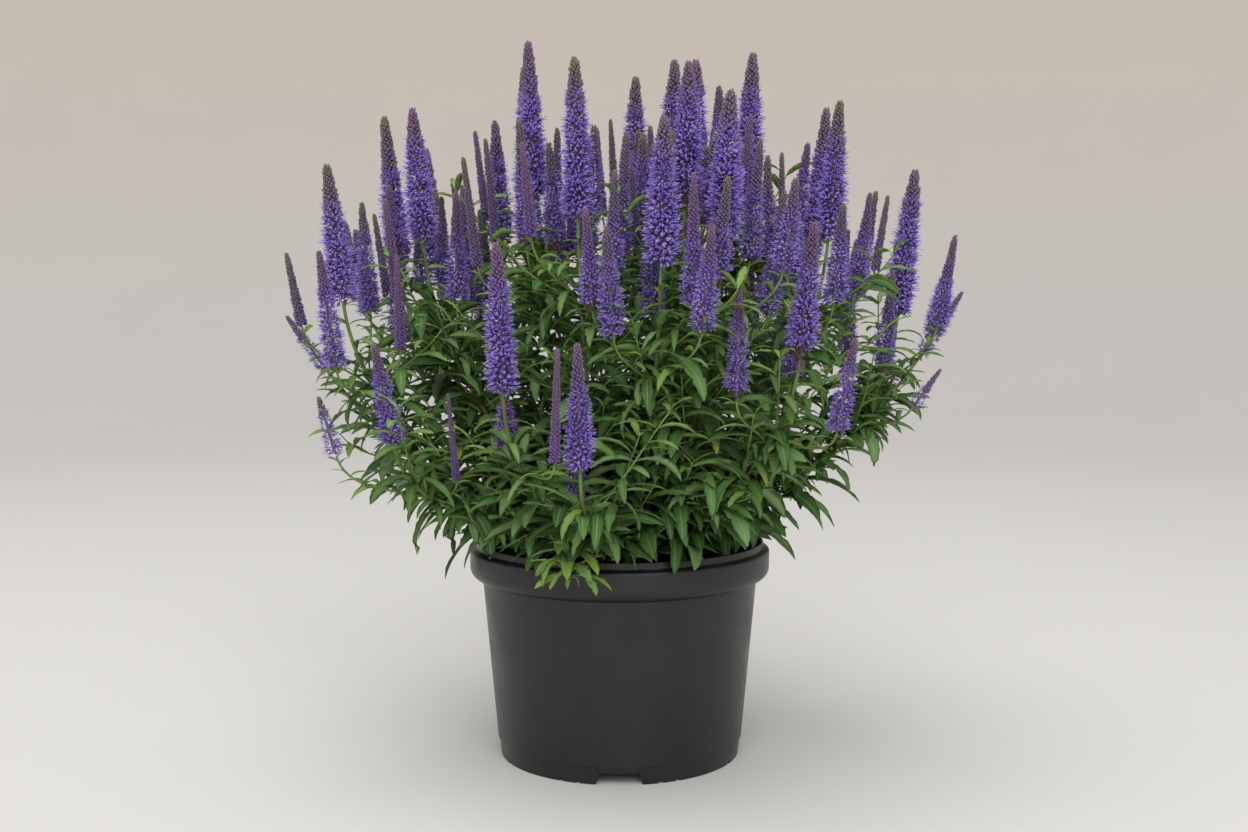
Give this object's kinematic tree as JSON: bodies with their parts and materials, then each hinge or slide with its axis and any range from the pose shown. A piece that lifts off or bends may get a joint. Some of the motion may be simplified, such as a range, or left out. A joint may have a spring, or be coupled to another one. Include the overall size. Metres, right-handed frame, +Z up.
{
  "type": "potted speedwell",
  "caption": "Bushy spike speedwell in a round black nursery pot: upright leafy stems that end in tall, tapering violet-blue flower spikes over compost.",
  "frame": {"origin": "centre of the flat middle of the pot's underside, on the surface the pot stands on", "axes": "+Z up along the pot's axis, -Y towards the front with the low spikes and the shoot that hangs over the rim, +X to the right seen from the front"},
  "size_m": [0.514, 0.4166, 0.5326],
  "materials": {
    "pot_plastic": "satin charcoal-black injection-moulded plastic, faintly mottled",
    "compost": "moist dark crumbly compost with bark and fibre",
    "stem_and_leaf": "matt mid-green leaf with a paler midrib and a soft grey-green sheen, green to reddish stems",
    "flower": "matt violet-blue petals with fine stamens, dull purple to olive buds towards the tip"
  },
  "bodies": {
    "root": {"pot": "pot_plastic", "compost": "compost", "leafy_stem_01": "stem_and_leaf", "leafy_stem_02": "stem_and_leaf", "leafy_stem_03": "stem_and_leaf", "leafy_stem_04": "stem_and_leaf", "leafy_stem_05": "stem_and_leaf", "leafy_stem_06": "stem_and_leaf", "leafy_stem_07": "stem_and_leaf", "leafy_stem_08": "stem_and_leaf", "leafy_stem_09": "stem_and_leaf", "leafy_stem_10": "stem_and_leaf", "leafy_stem_11": "stem_and_leaf", "leafy_stem_12": "stem_and_leaf", "leafy_stem_13": "stem_and_leaf", "leafy_stem_14": "stem_and_leaf", "leafy_stem_15": "stem_and_leaf", "leafy_stem_16": "stem_and_leaf", "leafy_stem_17": "stem_and_leaf", "leafy_stem_18": "stem_and_leaf", "leafy_stem_19": "stem_and_leaf", "leafy_stem_20": "stem_and_leaf", "leafy_stem_21": "stem_and_leaf", "leafy_stem_22": "stem_and_leaf", "leafy_stem_23": "stem_and_leaf", "leafy_stem_24": "stem_and_leaf", "leafy_stem_25": "stem_and_leaf", "leafy_stem_26": "stem_and_leaf", "leafy_stem_27": "stem_and_leaf", "leafy_stem_28": "stem_and_leaf", "drooping_shoot": "stem_and_leaf", "flower_head_01": "flower", "flower_head_02": "flower", "flower_head_03": "flower", "flower_head_04": "flower", "flower_head_05": "flower", "flower_head_06": "flower", "flower_head_07": "flower", "flower_head_08": "flower", "flower_head_09": "flower", "flower_head_10": "flower", "flower_head_11": "flower", "flower_head_12": "flower", "flower_head_13": "flower", "flower_head_14": "flower", "flower_head_15": "flower", "flower_head_16": "flower", "flower_head_17": "flower", "flower_head_18": "flower", "flower_head_19": "flower", "flower_head_20": "flower", "flower_head_21": "flower", "flower_head_22": "flower", "flower_head_23": "flower", "flower_head_24": "flower", "flower_head_25": "flower", "flower_head_26": "flower", "flower_head_27": "flower", "flower_head_28": "flower"}
  },
  "joints": []
}
